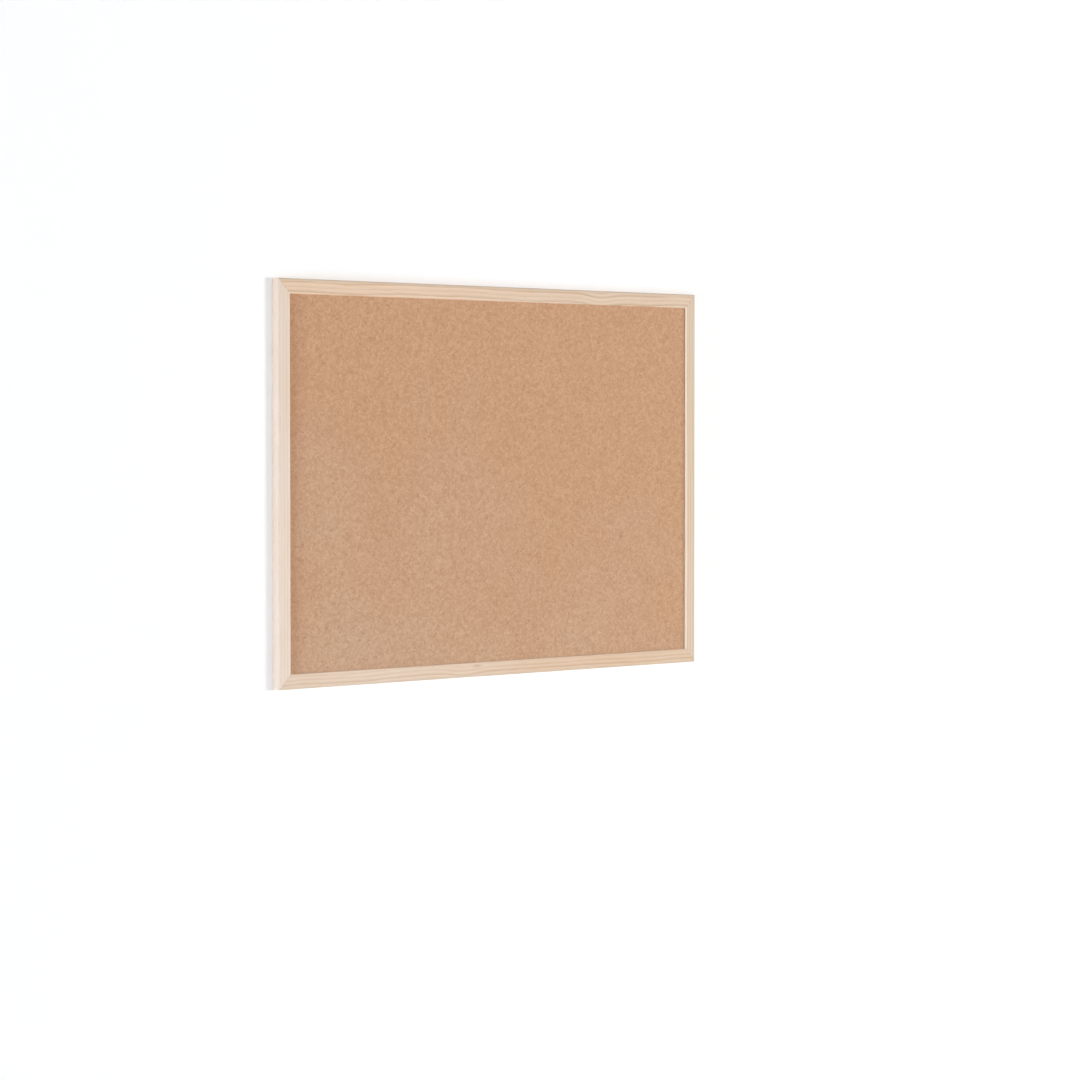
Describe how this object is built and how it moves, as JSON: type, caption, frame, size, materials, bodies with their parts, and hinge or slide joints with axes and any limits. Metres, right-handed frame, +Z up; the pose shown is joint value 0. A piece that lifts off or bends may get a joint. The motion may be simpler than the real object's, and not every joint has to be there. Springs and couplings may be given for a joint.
{
  "type": "cork board",
  "caption": "Wall-hung cork pin board in a mitred pine frame, with swinging D-ring hangers on its back.",
  "frame": {"origin": "on the flat back of the top rail, half way along it and half way across its land", "axes": "+X to the right as the board is seen, +Y out of the back towards the wall, +Z up"},
  "size_m": [0.6, 0.0137, 0.4],
  "materials": {
    "pine": "sanded and clear-lacquered, matt",
    "cork": "pressed granules, sanded and unfinished",
    "softboard": "raw felted wood fibre",
    "kraft_paper": "unglazed brown kraft",
    "zinc_plated_steel": "bright zinc plate",
    "blue_steel": "bare rolled strip"
  },
  "bodies": {
    "board": {"top_rail": "pine", "right_rail": "pine", "bottom_rail": "pine", "left_rail": "pine", "cork_sheet": "cork", "softboard_core": "softboard", "backing_paper": "kraft_paper", "bottom_left_v_nail": "blue_steel", "bottom_right_v_nail": "blue_steel", "top_right_v_nail": "blue_steel", "top_left_v_nail": "blue_steel", "top_framing_point_1": "zinc_plated_steel", "top_framing_point_2": "zinc_plated_steel", "top_framing_point_3": "zinc_plated_steel", "top_framing_point_4": "zinc_plated_steel", "right_framing_point_1": "zinc_plated_steel", "right_framing_point_2": "zinc_plated_steel", "right_framing_point_3": "zinc_plated_steel", "bottom_framing_point_1": "zinc_plated_steel", "bottom_framing_point_2": "zinc_plated_steel", "bottom_framing_point_3": "zinc_plated_steel", "bottom_framing_point_4": "zinc_plated_steel", "left_framing_point_1": "zinc_plated_steel", "left_framing_point_2": "zinc_plated_steel", "left_framing_point_3": "zinc_plated_steel", "left_hanger_strap": "zinc_plated_steel", "left_hanger_screw": "zinc_plated_steel", "right_hanger_strap": "zinc_plated_steel", "right_hanger_screw": "zinc_plated_steel"},
    "left_ring": {"left_hanging_ring": "zinc_plated_steel"},
    "right_ring": {"right_hanging_ring": "zinc_plated_steel"}
  },
  "joints": [
    {"name": "left_ring_swing", "type": "hinge", "parent": "board", "child": "left_ring", "pos_m": [-0.2935, 0.00185, -0.0645], "axis": [-1, 0, 0], "range_deg": [0, 178.5]},
    {"name": "right_ring_swing", "type": "hinge", "parent": "board", "child": "right_ring", "pos_m": [0.2935, 0.00185, -0.0645], "axis": [-1, 0, 0], "range_deg": [0, 178.5]}
  ]
}
